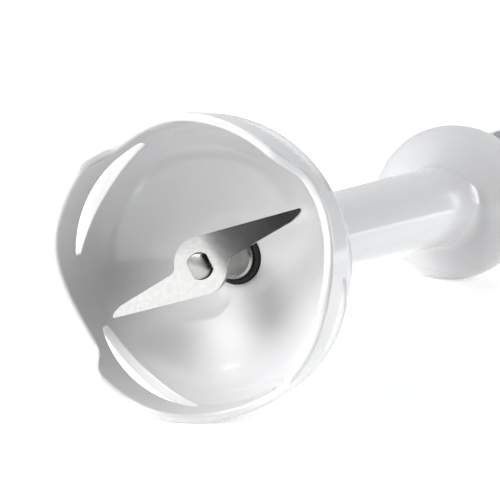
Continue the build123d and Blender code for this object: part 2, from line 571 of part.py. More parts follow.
bracket = ring(REAR_BRACKET_X, REAR_BRACKET_X + BRACKET_THICKNESS, BRACKET_R)
bracket += ring(REAR_BRACKET_X, REAR_BRACKET_X + BRACKET_THICKNESS + 2.0, BEARING_R + 2.0)
bracket -= ring(REAR_BRACKET_X - 1, REAR_BRACKET_X + BRACKET_THICKNESS + 3.0, BEARING_R + SEATED)
leg = Pos(0, 0, BRACKET_R - LEG_R - LEG_INSET) * ring(STACK_END, REAR_BRACKET_X + 1, LEG_R)
for support in spun(leg, 4, 45.0):
    bracket += support
BRUSH_X = COMMUTATOR_X + COMMUTATOR_LENGTH / 2
holders = []
brushes = []
coils = []
for side in (1, -1):
    lug = block((COMMUTATOR_X - 0.5, REAR_BRACKET_X + 1), sorted((side * 9.0, side * 16.0)), (-5.0, 5.0))
    pocket = block((BRUSH_X - 3.0, BRUSH_X + 3.0), sorted((side * 7.5, side * 17.0)), (-3.0, 3.0))
    bracket += lug
    bracket -= pocket
    tube = block((BRUSH_X - 3.0 + SEATED, BRUSH_X + 3.0 - SEATED), sorted((side * 7.5, side * 16.5)),
                 (-3.0 + SEATED, 3.0 - SEATED))
    tube -= block((BRUSH_X - BRUSH / 2 - SEATED, BRUSH_X + BRUSH / 2 + SEATED), sorted((side * 7.0, side * 16.0)),
                  (-BRUSH / 2 - SEATED, BRUSH / 2 + SEATED))
    holders.append(tube)
    brushes.append(block((BRUSH_X - BRUSH / 2, BRUSH_X + BRUSH / 2),
                         sorted((side * (COMMUTATOR_R + 0.1), side * 12.0)), (-BRUSH / 2, BRUSH / 2))
                   - ring(COMMUTATOR_X - 1, COMMUTATOR_X + 12, COMMUTATOR_R + 0.1))
    coils.append(Pos(BRUSH_X, 0, 0) * Rot(-90 * side, 0, 0) * Pos(0, 0, 12.0) * coil(1.3, 0.25, 4.0, 4))
keep("motor_rear_bracket", bracket)
keep("brush_holders", *holders)
keep("carbon_brushes", *brushes)
keep("brush_springs", *coils)
keep("rear_bearing", ring(REAR_BRACKET_X, REAR_BRACKET_X + BEARING_WIDTH, BEARING_R, MOTOR_SHAFT_R + RUNNING))
mount_ring = ring(0, BRACKET_THICKNESS, MOUNT_R, BRACKET_R + SEATED)
keep("motor_mounts", Pos(FRONT_BRACKET_X, 0, 0) * mount_ring, Pos(REAR_BRACKET_X, 0, 0) * mount_ring)

pole_r = ARMATURE_R + AIR_GAP
yoke_r = MOTOR_R - 2.6
POLE_HALF = 8.8
stator = ring(STACK_X, STACK_END, MOTOR_R, yoke_r)
poles = ring(STACK_X, STACK_END, yoke_r + 0.1, pole_r) & block((STACK_X, STACK_END), (-POLE_HALF, POLE_HALF),
                                                               (-MOTOR_R, MOTOR_R))
keep("stator_core", stator + poles)
windings = []
for side in (1, -1):
    bundle = ring(STACK_X - COIL_OVERHANG, STACK_END + COIL_OVERHANG, yoke_r - SEATED, pole_r + 0.3)
    bundle &= block((STACK_X - COIL_OVERHANG, STACK_END + COIL_OVERHANG), (-MOTOR_R, MOTOR_R),
                    sorted((side * 2.5, side * MOTOR_R)))
    bundle -= block((STACK_X - SEATED, STACK_END + SEATED), (-POLE_HALF - SEATED, POLE_HALF + SEATED),
                    (-MOTOR_R, MOTOR_R))
    windings.append(bundle)
keep("field_coils", *windings)

core = ring(STACK_X, STACK_END, ARMATURE_R, MOTOR_SHAFT_R)
slot = block((STACK_X - 1, STACK_END + 1), (-0.8, 0.8), (ARMATURE_R - 4.5, ARMATURE_R + 1))
for cut in spun(slot, ARMATURE_SLOTS):
    core -= cut
keep("armature_core", core)
end_turn_r = ARMATURE_R - 1.0
keep("armature_winding", ring(STACK_X - COIL_OVERHANG, STACK_X, end_turn_r, MOTOR_SHAFT_R),
     ring(STACK_END, STACK_END + COIL_OVERHANG, end_turn_r, MOTOR_SHAFT_R))
bars = ring(COMMUTATOR_X, COMMUTATOR_X + COMMUTATOR_LENGTH, COMMUTATOR_R, MOTOR_SHAFT_R)
gap = block((COMMUTATOR_X + 1, COMMUTATOR_X + COMMUTATOR_LENGTH + 1), (-0.2, 0.2), (COMMUTATOR_R - 0.8, 7.0))
for cut in spun(gap, ARMATURE_SLOTS, 15.0):
    bars -= cut
keep("commutator", bars)
MOTOR_SHAFT_FRONT = HEX_END + 1.5
MOTOR_SHAFT_REAR = REAR_BRACKET_X + BEARING_WIDTH + 0.5
keep("armature_shaft", ring(MOTOR_SHAFT_FRONT, MOTOR_SHAFT_REAR, MOTOR_SHAFT_R))
driver = ring(HEX_X + 1.5, WEB_X + WEB_THICKNESS, 8.0)
driver -= hexagon(HEX_X, HEX_END + 1.0, HEX_R + HEX_PLAY)
driver -= ring(MOTOR_SHAFT_FRONT, FAN_X, MOTOR_SHAFT_R)
keep("drive_coupling", driver)

fan_end = FRONT_BRACKET_X - 2.5
fan = ring(FAN_X - 1.0, FAN_X + 0.6, FAN_R, MOTOR_SHAFT_R) + ring(FAN_X - 1.0, fan_end - 0.2, 5.0, MOTOR_SHAFT_R)
vane = block((FAN_X, fan_end - 0.2), (-0.6, 0.6), (10.6, FAN_R - 0.3))
for part in spun(vane, FAN_BLADES):
    fan += part
keep("cooling_fan", fan)

# --- board -----------------------------------------------------------------------------------------------------------------
board = block((BOARD_X[0] - 1.0, BOARD_X[1] + 1.0), (-BOARD_HALF, BOARD_HALF), (BOARD_Z, board_top))
keep("circuit_board", board)
capacitor = block((330.0, 345.0), (-5.0, 5.0), (BOARD_Z - 7.5, BOARD_Z))
keep("capacitor", fillet(capacitor.edges().filter_by(Axis.Z), 1.0))

# --- write -----------------------------------------------------------------------------------------------------------------
os.makedirs("parts", exist_ok=True)
for name, solids in nodes.items():
    shape = place(solids[0]) if len(solids) == 1 else Compound(children=[place(s) for s in solids])
    export_step(shape, "parts/" + name + ".step")
print(len(nodes), "nodes")
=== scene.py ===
import json
from math import asin, atan2, cos, degrees, exp, pi, radians, sin, sqrt

import bmesh
import bpy
import numpy as np
from mathutils import Matrix, Vector


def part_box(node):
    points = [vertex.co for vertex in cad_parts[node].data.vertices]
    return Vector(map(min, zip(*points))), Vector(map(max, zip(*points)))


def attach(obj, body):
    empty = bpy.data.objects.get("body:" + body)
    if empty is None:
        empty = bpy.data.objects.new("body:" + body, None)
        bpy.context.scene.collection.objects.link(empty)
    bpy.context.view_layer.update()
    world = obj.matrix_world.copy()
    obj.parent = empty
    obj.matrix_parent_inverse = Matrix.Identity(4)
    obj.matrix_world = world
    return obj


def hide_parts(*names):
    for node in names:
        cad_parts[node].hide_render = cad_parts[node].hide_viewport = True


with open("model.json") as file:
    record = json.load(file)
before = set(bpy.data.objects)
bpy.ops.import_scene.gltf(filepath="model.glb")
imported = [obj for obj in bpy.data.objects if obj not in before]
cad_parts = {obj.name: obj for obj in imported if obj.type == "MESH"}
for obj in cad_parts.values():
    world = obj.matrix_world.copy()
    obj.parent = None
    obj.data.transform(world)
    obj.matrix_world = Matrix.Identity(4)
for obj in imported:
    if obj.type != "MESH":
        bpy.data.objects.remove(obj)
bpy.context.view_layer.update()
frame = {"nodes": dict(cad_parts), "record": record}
scene = bpy.context.scene
MM = 0.001

# --- camera ----------------------------------------------------------------------------------------------
# A short telephoto view into the mouth of the guard, a little from the tool's right and from just above it.
guard_low, guard_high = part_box("blade_guard")
RIM_X = guard_low.x
AXIS_Z = (guard_low.z + guard_high.z) / 2
YAW = radians(23.97)
PITCH = radians(6.39)
ROLL = radians(0.28)
ahead = Vector((cos(YAW) * cos(PITCH), sin(YAW) * cos(PITCH), -sin(PITCH)))
level = Vector((sin(YAW), -cos(YAW), 0.0))
above = level.cross(ahead)
sideways = level * cos(ROLL) + above * sin(ROLL)
upright = above * cos(ROLL) - level * sin(ROLL)
lens = bpy.data.cameras.new("camera")
lens.lens = 72.4
lens.sensor_width = 36.0
lens.clip_start = 0.01
camera = bpy.data.objects.new("camera", lens)
scene.collection.objects.link(camera)
camera.matrix_world = Matrix.Translation((RIM_X - 0.1725, -0.0918, AXIS_Z + 0.0261)) @ Matrix(
    (sideways, upright, -ahead)).transposed().to_4x4()
scene.camera = camera


# --- studio ----------------------------------------------------------------------------------------------
# A white sweep of floor that glows with painted light, dimmer near the part as painted shade round it, a
# softbox at the front left, a fill at the right rear, a narrow beam into the bowl, and a room that is dark
# behind the camera and bright to the left and ahead. The tones get some contrast.
scene.view_settings.view_transform = "Standard"
scene.view_settings.gamma = 0.82
scene.view_settings.exposure = 0.12


class Tone:
    """One value in a material. Arithmetic on it adds Math nodes, and node() adds a node of any other kind."""

    def __init__(self, tree, socket=None):
        self.tree = tree
        self.socket = socket

    def node(self, kind, settings=None, values=None, out=0):
        made = self.tree.nodes.new(kind)
        for name, value in (settings or {}).items():
            setattr(made, name, value)
        for name, value in (values or {}).items():
            if isinstance(value, Tone):
                self.tree.links.new(value.socket, made.inputs[name])
            else:
                made.inputs[name].default_value = value
        return Tone(self.tree, made.outputs[out] if made.outputs else None)

    def math(self, operation, first, second=0.0):
        return self.node("ShaderNodeMath", {"operation": operation}, {0: first, 1: second})

    def __add__(self, other):
        return self.math("ADD", self, other)

    def __radd__(self, other):
        return self.math("ADD", other, self)

    def __sub__(self, other):
        return self.math("SUBTRACT", self, other)

    def __rsub__(self, other):
        return self.math("SUBTRACT", other, self)

    def __mul__(self, other):
        return self.math("MULTIPLY", self, other)

    def __rmul__(self, other):
        return self.math("MULTIPLY", other, self)

    def clamped(self, low, high):
        return self.node("ShaderNodeMapRange", {"interpolation_type": "SMOOTHSTEP"},
                         {"Value": self, "From Min": low, "From Max": high})

    def blend(self, first, second):
        """Colour that goes from first to second as this value goes from 0 to 1."""
        return self.node("ShaderNodeMix", {"data_type": "RGBA"}, {"Factor": self, 6: first, 7: second}, out=2)


def rgb(red, green=None, blue=None):
    return (red, green, blue, 1.0) if green is not None else (red, red, red, 1.0)


world = bpy.data.worlds.new("studio")
scene.world = world
world.use_nodes = True
world.node_tree.nodes.clear()
sky = Tone(world.node_tree)
toward = sky.node("ShaderNodeTexCoord", out=0)
along = sky.node("ShaderNodeSeparateXYZ", values={"Vector": toward}, out=0)
across = sky.node("ShaderNodeSeparateXYZ", values={"Vector": toward}, out=1)
rising = sky.node("ShaderNodeSeparateXYZ", values={"Vector": toward}, out=2)
behind = along.clamped(-0.35, 0.35)
left = across.clamped(0.18, 0.42)
overhead = rising.clamped(0.0, 0.9)
room = 0.03 + behind * 0.7 + left * (1.0 - behind) * 0.66 + overhead * 0.05
seen = sky.node("ShaderNodeLightPath", out=0)
lit_room = sky.node("ShaderNodeBackground", values={"Color": rgb(0.97, 0.985, 1.0), "Strength": room})
white_wall = sky.node("ShaderNodeBackground", values={"Color": rgb(1.0), "Strength": 1.1})
both = sky.node("ShaderNodeMixShader", values={"Fac": seen, 1: lit_room, 2: white_wall})
sky.node("ShaderNodeOutputWorld", values={"Surface": both})


def material(name, build):
    """New material whose nodes are added by build(tone), which returns the finished shader."""
    made = bpy.data.materials.new(name)
    made.use_nodes = True
    made.node_tree.nodes.clear()
    tone = Tone(made.node_tree)
    tone.node("ShaderNodeOutputMaterial", values={"Surface": build(tone)})
    return made


def sweep_paint_and_painted_glow(tone):
    where = tone.node("ShaderNodeTexCoord", out=3)
    fleck = tone.node("ShaderNodeTexNoise", values={"Vector": where, "Scale": 60.0})
    # The floor's emission is painted light: it glows less near the scene's origin, where the part lies, as
    # painted shade round the part, and more further out.
    away = tone.node("ShaderNodeVectorMath", {"operation": "LENGTH"}, {0: where}, out=1)
    painted_floor_glow = away.clamped(0.2, 1.2).blend(rgb(0.34), rgb(0.9))
    return tone.node("ShaderNodeBsdfPrincipled", values={
        "Base Color": fleck.blend(rgb(0.88), rgb(0.91)), "Roughness": 0.6,
        "Emission Color": painted_floor_glow, "Emission Strength": 1.0})


FLOOR_X = (RIM_X - 0.32, 8.0)
FLOOR_Y = (-3.0, 6.0)
floor_mesh = bpy.data.meshes.new("floor")
floor_mesh.from_pydata([(FLOOR_X[0], FLOOR_Y[0], 0.0), (FLOOR_X[1], FLOOR_Y[0], 0.0),
                        (FLOOR_X[1], FLOOR_Y[1], 0.0), (FLOOR_X[0], FLOOR_Y[1], 0.0)], [], [(0, 1, 2, 3)])
floor_mesh.materials.append(material("sweep", sweep_paint_and_painted_glow))
floor = bpy.data.objects.new("floor", floor_mesh)
scene.collection.objects.link(floor)


def softbox(name, place, target, width, height, power):
    lamp = bpy.data.lights.new(name, "AREA")
    lamp.shape = "RECTANGLE"
    lamp.size = width
    lamp.size_y = height
    lamp.energy = power
    holder = bpy.data.objects.new(name, lamp)
    scene.collection.objects.link(holder)
    holder.location = place
    holder.rotation_euler = (Vector(target) - Vector(place)).to_track_quat("-Z", "Y").to_euler()
    return holder


guard_middle = (RIM_X + 0.015, 0.0, AXIS_Z)
softbox("key_box", (RIM_X - 0.55, 0.33, AXIS_Z + 0.50), guard_middle, 0.48, 0.55, 7.2)
softbox("side_fill", (RIM_X + 0.75, -0.75, 0.30), (0.0, 0.0, AXIS_Z), 0.7, 0.5, 4.2)
BEAM_THROW = 0.6
beam = bpy.data.lights.new("beam", "SPOT")
beam.energy = 8.5
beam.spot_size = radians(1.45)
beam.spot_blend = 0.25
beam.shadow_soft_size = 0.006
beam_holder = bpy.data.objects.new("beam", beam)
scene.collection.objects.link(beam_holder)
beam_target = Vector((RIM_X + 0.023, -0.0005, AXIS_Z - 0.0158))
beam_from = Vector((-0.80, -0.35, 0.42)).normalized()
beam_holder.location = beam_target + beam_from * BEAM_THROW
beam_holder.rotation_euler = beam_from.to_track_quat("Z", "Y").to_euler()


# --- white mouldings: blade guard ------------------------------------------------------------------------
# The guard is an open bell moulded in glossy white plastic. Its rim has four scallops that let food in when
# the tool stands in a beaker, and four crescent slots behind them let it out. The rim is softly rounded.
def white_plastic(tone):
    where = tone.node("ShaderNodeTexCoord", out=3)
    flow = tone.node("ShaderNodeTexNoise", values={"Vector": where, "Scale": 35.0, "Detail": 2.0})
    skin = tone.node("ShaderNodeTexNoise", values={"Vector": where, "Scale": 900.0, "Detail": 1.0})
    peel = tone.node("ShaderNodeBump", values={"Height": skin, "Strength": 0.03, "Distance": 0.0002})
    return tone.node("ShaderNodeBsdfPrincipled", values={
        "Base Color": flow.blend(rgb(0.62, 0.62, 0.625), rgb(0.645, 0.645, 0.65)),
        "Roughness": flow * 0.05 + 0.10, "IOR": 1.6, "Normal": peel})


WHITE = material("white_gloss", white_plastic)
GUARD_R = (guard_high.z - guard_low.z) / 2 / MM
GUARD_END = (guard_high.x - guard_low.x) / MM
GUARD_WALL = 1.9
SKIRT = 12.0
DOME = 20.0
SKIRT_INSIDE = 10.0
DOME_INSIDE = 17.0
FLOOR_INSIDE = 26.0
BORE = 4.1
SEAL_SEAT_R = 5.95
SEAL_SEAT_X = 29.0
NECK_FILLET = 4.0
STEM_R = 9.0
STEM_TAPER = 0.037
NOTCH_FIRST = 69.5
NOTCH_DEPTH = 6.0
NOTCH_RAMP = 24.7
NOTCH_FOOT = 18.0
NOTCH_SHOULDER = 9.0
NOTCH_STEEP = 6.8
SLOT_FIRST = 30.0
SLOT_HALF = 29.0
SLOT_X = 10.4
SLOT_LEAN = 1.65
SLOT_END = 0.9
SLOT_NEAR = 7.9
SLOT_FAR = 13.4
NEAR_BOW = 1.6
FAR_BOW = 2.1


def smooth(value):
    value = min(max(value, 0.0), 1.0)
    return value * value * (3.0 - 2.0 * value)


def notch_depth(angle):
    """How far the rim is cut back at an angle: a gentle ramp, then a steep rounded shoulder."""
    from_middle = (NOTCH_FIRST - angle + 45.0) % 90.0 - 45.0
    run = from_middle * pi / 180.0 * (GUARD_R - GUARD_WALL / 2)
    return NOTCH_DEPTH * smooth((run + NOTCH_FOOT) / NOTCH_RAMP) * (
        1.0 - smooth((run - NOTCH_SHOULDER) / NOTCH_STEEP))


def slot_edges(angle):
    """Rim-side and back edge of the slots at an angle, carried on between one slot and the next."""
    turn = ((SLOT_FIRST - angle + 45.0) % 90.0 - 45.0) / SLOT_HALF
    if abs(turn) <= 1.0:
        lean = -SLOT_LEAN * turn
        return SLOT_NEAR + lean + NEAR_BOW * turn * turn, SLOT_FAR + lean - FAR_BOW * turn * turn
    gap = 90.0 / SLOT_HALF - 2.0
    share = smooth((turn - 1.0) / gap if turn > 0 else (turn + gap + 1.0) / gap)
    middle = SLOT_X - SLOT_LEAN + 2.0 * SLOT_LEAN * share
    return middle - SLOT_END, middle + SLOT_END


def outside(x):
    return GUARD_R * sqrt(1.0 - ((x - SKIRT) / DOME) ** 2) if x > SKIRT else GUARD_R


def inside(x):
    past = (x - SKIRT_INSIDE) / DOME_INSIDE
    return (GUARD_R - GUARD_WALL) * sqrt(1.0 - past ** 2) if past > 0.0 else GUARD_R - GUARD_WALL


def stem_radius(x):
    return STEM_R + STEM_TAPER * (x - GUARD_END)


def neck_outline():
    """Outline from the dome over the neck fillet to the weld with the stem, front to back."""
    touch_r = STEM_R + NECK_FILLET
    for _ in range(8):
        touch_x = SKIRT + DOME * sqrt(1.0 - (touch_r / GUARD_R) ** 2)
        slope = Vector(((touch_x - SKIRT) / DOME ** 2, touch_r / GUARD_R ** 2)).normalized()
        touch_r = stem_radius(34.3) + NECK_FILLET - NECK_FILLET * slope.y
    centre = Vector((touch_x, touch_r)) + slope * NECK_FILLET
    first = asin(touch_r / GUARD_R)
    points = [(SKIRT + DOME * cos(a), GUARD_R * sin(a)) for a in np.linspace(radians(74.0), first, 18)]
    start = atan2(-slope.y, -slope.x)
    points += [tuple(centre + NECK_FILLET * Vector((cos(a), sin(a))))
               for a in np.linspace(start % (2 * pi), 1.5 * pi, 7)[1:]]
    return points + [(GUARD_END - 0.3, stem_radius(GUARD_END)), (GUARD_END, stem_radius(GUARD_END) - 0.15),
                     (GUARD_END, 6.5), (GUARD_END, BORE)]


def bore_outline():
    """Outline from the weld forward through the bush's bore and the seal's seat to the bell's floor."""
    points = [(GUARD_END - 2.0, BORE), (SEAL_SEAT_X + 1.0, BORE), (SEAL_SEAT_X, BORE),
              (SEAL_SEAT_X, SEAL_SEAT_R),
              (FLOOR_INSIDE + 0.3, SEAL_SEAT_R), (FLOOR_INSIDE, SEAL_SEAT_R + 0.15), (FLOOR_INSIDE, 7.2),
              (FLOOR_INSIDE, 8.6)]
    for a in np.linspace(asin(10.2 / (GUARD_R - GUARD_WALL)), radians(72.0), 20):
        points.append((SKIRT_INSIDE + DOME_INSIDE * cos(a), (GUARD_R - GUARD_WALL) * sin(a)))
    return points


def rim_columns():
    """Angles round the bell, closer together at the ends of each slot."""
    start = SLOT_FIRST - SLOT_HALF
    end = SLOT_FIRST + SLOT_HALF
    steps = [start - 4.0, start - 1.6, start - 0.7, start]
    steps += list(np.linspace(start, end, 28))[1:]
    steps += [end + 0.7, end + 1.6, end + 4.0]
    steps += list(np.linspace(end + 4.0, start + 86.0, 14))[1:-1]
    angles = [angle + 90.0 * quarter for quarter in range(4) for angle in steps]
    return angles, steps.index(start), steps.index(end)


columns, slot_first, slot_last = rim_columns()
per_quarter = len(columns) // 4


def bell_column(angle):
    """Closed outline of the bell's wall at an angle, as (x, radius), and the rows of the slot's edges."""
    rim = notch_depth(angle)
    near, far = slot_edges(angle)
    crisp = 0.4
    mean = GUARD_R - GUARD_WALL / 2
    half = GUARD_WALL / 2
    lane = [rim + 0.55, rim + 1.1, rim + 2.4, (rim + 2.4 + near - crisp) / 2, near - crisp, near, far,
            far + crisp, far + 1.4]
    outer = [(x, outside(x)) for x in lane]
    inner = [(x, inside(x)) for x in reversed(lane)]
    lip = [(rim + 0.17, mean - half + 0.16), (rim, mean - half + 0.55), (rim, mean),
           (rim, mean + half - 0.55), (rim + 0.17, mean + half - 0.16)]
    neck = neck_points
    bore = bore_points
    rows = outer + neck + bore + inner + lip
    out_near = len(outer) - 4
    in_far = len(outer) + len(neck) + len(bore) + 2
    return rows, (out_near, out_near + 1, in_far, in_far + 1)


neck_points = neck_outline()
bore_points = bore_outline()


def polar(x, radius, angle):
    """Point in the part's frame from millimetres along and out from the axis, and degrees from +Y to +Z."""
    turn = radians(angle)
    return Vector((RIM_X + x * MM, radius * MM * cos(turn), AXIS_Z + radius * MM * sin(turn)))


def piece(name, mesh, body, slot, finish, *nodes):
    """Object from a mesh: it rides on a body, takes a finish, and stands for CAD nodes."""
    made = bpy.data.objects.new(name, mesh)
    scene.collection.objects.link(made)
    mesh.materials.clear()
    mesh.materials.append(finish)
    mesh.polygons.foreach_set("use_smooth", [True] * len(mesh.polygons))
    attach(made, body)
    if nodes:
        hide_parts(*nodes)
    return made


def settled(name, mesh, *modifiers):
    """The mesh with modifiers applied, each given as (kind, settings)."""
    holder = bpy.data.objects.new(name + "_work", mesh)
    scene.collection.objects.link(holder)
    for kind, settings in modifiers:
        step = holder.modifiers.new(kind.lower(), kind)
        for key, value in settings.items():
            setattr(step, key, value)
    bpy.context.view_layer.update()
    done = bpy.data.meshes.new_from_object(holder.evaluated_get(bpy.context.evaluated_depsgraph_get()))
    bpy.data.objects.remove(holder)
    done.name = name
    return done


def bell():
    shape = bmesh.new()
    grid = []
    for angle in columns:
        rows, edges = bell_column(angle)
        grid.append([shape.verts.new(polar(x, r, angle)) for x, r in rows])
    count = len(columns)
    size = len(grid[0])
    out_near, out_far, in_far, in_near = edges

    def open_slot(j):
        return slot_first <= j % per_quarter < slot_last

    for j in range(count):
        k = (j + 1) % count
        for i in range(size):
            if open_slot(j) and i in (out_near, in_far):
                continue
            m = (i + 1) % size
            shape.faces.new((grid[j][i], grid[k][i], grid[k][m], grid[j][m]))
    # the slots' own walls, with a loop near each lip so that the lips stay tight
    for quarter in range(4):
        a = quarter * per_quarter + slot_first
        b = quarter * per_quarter + slot_last
        loop = [(j, out_near, in_near) for j in range(a, b + 1)]
        loop += [(j, out_far, in_far) for j in range(b, a - 1, -1)]
        inner_rings = []
        for j, o, n in loop:
            top, low = grid[j][o], grid[j][n]
            ring = [top] + [shape.verts.new(top.co.lerp(low.co, share)) for share in (0.22, 0.78)] + [low]
            inner_rings.append(ring)
        for p in range(len(loop)):
            here, there = inner_rings[p], inner_rings[(p + 1) % len(loop)]
            for step in range(3):
                shape.faces.new((here[step], there[step], there[step + 1], here[step + 1]))
    bmesh.ops.recalc_face_normals(shape, faces=shape.faces)
    cage = bpy.data.meshes.new("bell_cage")
    shape.to_mesh(cage)
    shape.free()
    return settled("bell", cage, ("SUBSURF", {"levels": 2, "render_levels": 2}))


def trued(mesh, limit=0.09):
    """Subdivision pulls the round walls in a hair, unevenly, so points on them go back to the true radius."""
    for vertex in mesh.vertices:
        x = (vertex.co.x - RIM_X) / MM
        y, z = vertex.co.y / MM, (vertex.co.z - AXIS_Z) / MM
        radius = sqrt(y * y + z * z)
        for wall, last in ((outside, SKIRT + DOME - 2.5), (inside, FLOOR_INSIDE - 1.0)):
            if x < last:
                miss = wall(x) - radius
                if abs(miss) < limit:
                    scale = 1.0 + miss * (1.0 - smooth(abs(miss) / limit)) / radius
                    vertex.co.y *= scale
                    vertex.co.z = AXIS_Z + (vertex.co.z - AXIS_Z) * scale
    return mesh


piece("guard_bell", trued(bell()), "foot", "white_gloss", WHITE, "blade_guard")


# --- stem and shoulder -----------------------------------------------------------------------------------
# A slim hollow stem swells into a round shoulder. It is welded to the bell, and its open end seats
# the collar of the quick-release joint.
BELLY_R = 31.4
BELLY_X = 235.7
SHOULDER = 26.9
SHOULDER_FILLET = 7.0
FOOT_END = (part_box("stem")[1].x - RIM_X) / MM
STEM_WALL = 2.0
SHOULDER_WALL = 2.2
SEAT_R = 28.6
SEAT_X = 229.0


def lathe(name, outline, count=192):
    """Mesh turned about the tool's axis from a closed outline of (x, radius)."""
    shape = bmesh.new()
    rings = [[shape.verts.new(polar(x, radius, 360.0 * j / count)) for j in range(count)]
             for x, radius in outline]
    for here, there in zip(rings, rings[1:] + rings[:1]):
        for j in range(count):
            k = (j + 1) % count
            shape.faces.new((here[j], here[k], there[k], there[j]))
    bmesh.ops.recalc_face_normals(shape, faces=shape.faces)
    mesh = bpy.data.meshes.new(name)
    shape.to_mesh(mesh)
    shape.free()
    return mesh


def laid_flat(mesh):
    """Wear flats: nothing reaches below the table."""
    for vertex in mesh.vertices:
        vertex.co.z = max(vertex.co.z, 0.0)
    return mesh


def shoulder_outline():
    """From the stem over a fillet and up the round shoulder to its widest place."""
    touch_r = 20.0
    for _ in range(20):
        touch_x = BELLY_X - SHOULDER * sqrt(1.0 - (touch_r / BELLY_R) ** 2)
        slope = Vector((-(BELLY_X - touch_x) / SHOULDER ** 2, touch_r / BELLY_R ** 2)).normalized()
        centre_x = touch_x + slope.x * SHOULDER_FILLET
        touch_r = stem_radius(centre_x) + SHOULDER_FILLET * (1.0 - slope.y)
    centre = Vector((centre_x, touch_r + slope.y * SHOULDER_FILLET))
    end = atan2(-slope.y, -slope.x) % (2 * pi)
    points = [(x, stem_radius(x)) for x in np.linspace(GUARD_END, centre.x, 40)]
    points[0:1] = [(GUARD_END, stem_radius(GUARD_END) - 0.15), (GUARD_END + 0.2, stem_radius(GUARD_END))]
    points += [tuple(centre + SHOULDER_FILLET * Vector((cos(a), sin(a))))
               for a in np.linspace(1.5 * pi, end, 12)[1:]]
    low = asin(touch_r / BELLY_R)
    points += [(BELLY_X - SHOULDER * cos(a), BELLY_R * sin(a)) for a in np.linspace(low, pi / 2, 48)[1:]]
    return points


stem_line = shoulder_outline()
stem_line += [(FOOT_END - 0.35, BELLY_R), (FOOT_END - 0.1, BELLY_R - 0.08), (FOOT_END, BELLY_R - 0.35),
              (FOOT_END, SEAT_R + 0.2), (FOOT_END - 0.2, SEAT_R), (SEAT_X, SEAT_R), (SEAT_X, SEAT_R - 4.0)]
stem_line += [(BELLY_X - (SHOULDER - SHOULDER_WALL) * cos(a), (BELLY_R - SHOULDER_WALL) * sin(a))
              for a in np.linspace(radians(56.0), radians(34.0), 8)]
stem_line += [(x, stem_radius(x) - STEM_WALL) for x in (BELLY_X - SHOULDER, 120.0, GUARD_END)]
piece("stem_tube", laid_flat(lathe("stem_tube", stem_line)), "foot", "white_gloss", WHITE, "stem")


# --- bush and seal -----------------------------------------------------------------------
# A turned steel bush stands up from the bell's floor, and its thin flange presses a black rubber seal
# down. The shaft runs in the bush; both are plain turned steel.
def turned_steel(tone):
    where = tone.node("ShaderNodeTexCoord", out=3)
    rings = tone.node("ShaderNodeTexWave", {"bands_direction": "X"},
                      {"Vector": where, "Scale": 900.0, "Distortion": 0.6, "Detail": 2.0})
    patches = tone.node("ShaderNodeTexNoise", values={"Vector": where, "Scale": 260.0, "Detail": 4.0})
    cuts = tone.node("ShaderNodeBump", values={"Height": rings, "Strength": 0.18, "Distance": 0.0001})
    return tone.node("ShaderNodeBsdfPrincipled", values={
        "Base Color": patches.blend(rgb(0.33, 0.325, 0.305), rgb(0.46, 0.455, 0.435)), "Metallic": 1.0,
        "Roughness": patches * 0.14 + 0.22, "Normal": cuts})


def rubber(tone):
    where = tone.node("ShaderNodeTexCoord", out=3)
    grain = tone.node("ShaderNodeTexNoise", values={"Vector": where, "Scale": 2200.0, "Detail": 3.0})
    skin = tone.node("ShaderNodeBump", values={"Height": grain, "Strength": 0.25, "Distance": 0.0001})
    return tone.node("ShaderNodeBsdfPrincipled", values={
        "Base Color": grain.blend(rgb(0.012), rgb(0.03)), "Roughness": grain * 0.2 + 0.42, "Normal": skin})


TURNED = material("turned_steel", turned_steel)
RUBBER = material("black_rubber", rubber)
bush_low, bush_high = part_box("guard_bush")
BUSH_FRONT = (bush_low.x - RIM_X) / MM
BUSH_END = (bush_high.x - RIM_X) / MM
FLANGE_R = (bush_high.z - bush_low.z) / 2 / MM
BUSH_R = 4.0
BUSH_BORE = 2.7
seal_low, seal_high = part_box("shaft_seal")
SEAL_FRONT = (seal_low.x - RIM_X) / MM
SEAL_END = (seal_high.x - RIM_X) / MM
SEAL_R = (seal_high.z - seal_low.z) / 2 / MM
bush_line = [(BUSH_FRONT, BUSH_BORE + 0.2), (BUSH_FRONT, BUSH_R - 0.35), (BUSH_FRONT + 0.1, BUSH_R - 0.1),
             (BUSH_FRONT + 0.35, BUSH_R), (SEAL_FRONT - 1.05, BUSH_R), (SEAL_FRONT - 1.0, BUSH_R + 0.05),
             (SEAL_FRONT - 1.0, FLANGE_R - 0.15), (SEAL_FRONT - 0.85, FLANGE_R),
             (SEAL_FRONT - 0.15, FLANGE_R), (SEAL_FRONT, FLANGE_R - 0.15), (SEAL_FRONT, BUSH_R),
             (BUSH_END, BUSH_R), (BUSH_END, BUSH_BORE), (BUSH_FRONT + 0.2, BUSH_BORE)]
piece("steel_bush", lathe("steel_bush", bush_line, 96), "foot", "steel", TURNED, "guard_bush")
seal_line = [(SEAL_FRONT, BUSH_R + 0.05), (SEAL_FRONT, SEAL_R - 0.5), (SEAL_FRONT + 0.15, SEAL_R - 0.15),
             (SEAL_FRONT + 0.5, SEAL_R), (SEAL_END, SEAL_R), (SEAL_END, BUSH_R + 0.05)]
piece("lip_seal", lathe("lip_seal", seal_line, 96), "foot", "black_rubber", RUBBER, "shaft_seal")


